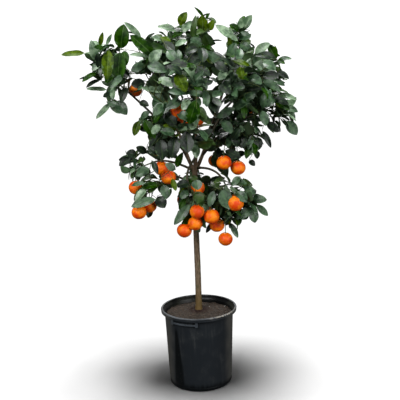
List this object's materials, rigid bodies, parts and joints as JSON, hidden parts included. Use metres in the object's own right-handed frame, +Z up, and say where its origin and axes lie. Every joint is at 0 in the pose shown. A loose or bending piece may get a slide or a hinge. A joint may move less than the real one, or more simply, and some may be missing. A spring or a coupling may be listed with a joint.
{
  "type": "potted orange tree",
  "caption": "Orange tree trained on one stem, with a spreading leafy crown that carries oranges, in a round black nursery pot.",
  "frame": {"origin": "middle of the pot's flat underside, on the surface that it stands on", "axes": "+Z up along the trunk, -Y towards the front of the tree, +X to the right seen from the front"},
  "size_m": [0.9315, 0.7339, 1.547],
  "materials": {
    "pot_plastic": "satin black moulded plastic with dusty scuffs",
    "potting_soil": "moist dark bark and peat crumbs",
    "bark": "smooth grey-brown bark with fine cracks",
    "young_bark": "green-brown young bark",
    "foliage": "satin leathery leaves, with glossy dimpled oranges"
  },
  "bodies": {
    "root": {"pot": "pot_plastic", "soil": "potting_soil", "trunk": "bark", "limb_centre": "bark", "limb_left": "bark", "limb_right": "bark", "bough_left_clump": "young_bark", "bough_top_left": "young_bark", "bough_right_outer": "young_bark", "bough_right_low_outer": "young_bark", "bough_right_low": "young_bark", "bough_right_mid": "young_bark", "bough_front": "young_bark", "bough_left_mid": "young_bark", "bough_left_low": "young_bark", "bough_centre_low": "young_bark", "bough_low_left_outer": "young_bark", "bough_low_left": "young_bark", "bough_low_centre": "young_bark", "bough_low_right": "young_bark", "bough_back_left": "young_bark", "bough_back_top": "young_bark", "bough_back_right": "young_bark", "bough_back_low_left": "young_bark", "bough_back_low_right": "young_bark", "bough_back_low": "young_bark", "foliage_left_clump": "foliage", "foliage_left_top": "foliage", "foliage_top_left": "foliage", "foliage_top": "foliage", "foliage_right_top": "foliage", "foliage_right_outer": "foliage", "foliage_right_low_outer": "foliage", "foliage_right_low": "foliage", "foliage_right_mid": "foliage", "foliage_front": "foliage", "foliage_left_mid": "foliage", "foliage_left_low": "foliage", "foliage_centre_low": "foliage", "foliage_low_left_outer": "foliage", "foliage_low_left": "foliage", "foliage_low_centre": "foliage", "foliage_low_right": "foliage", "foliage_back_left": "foliage", "foliage_back_top": "foliage", "foliage_back_right": "foliage", "foliage_back_low_left": "foliage", "foliage_back_low_right": "foliage", "foliage_back_low": "foliage"}
  },
  "joints": []
}
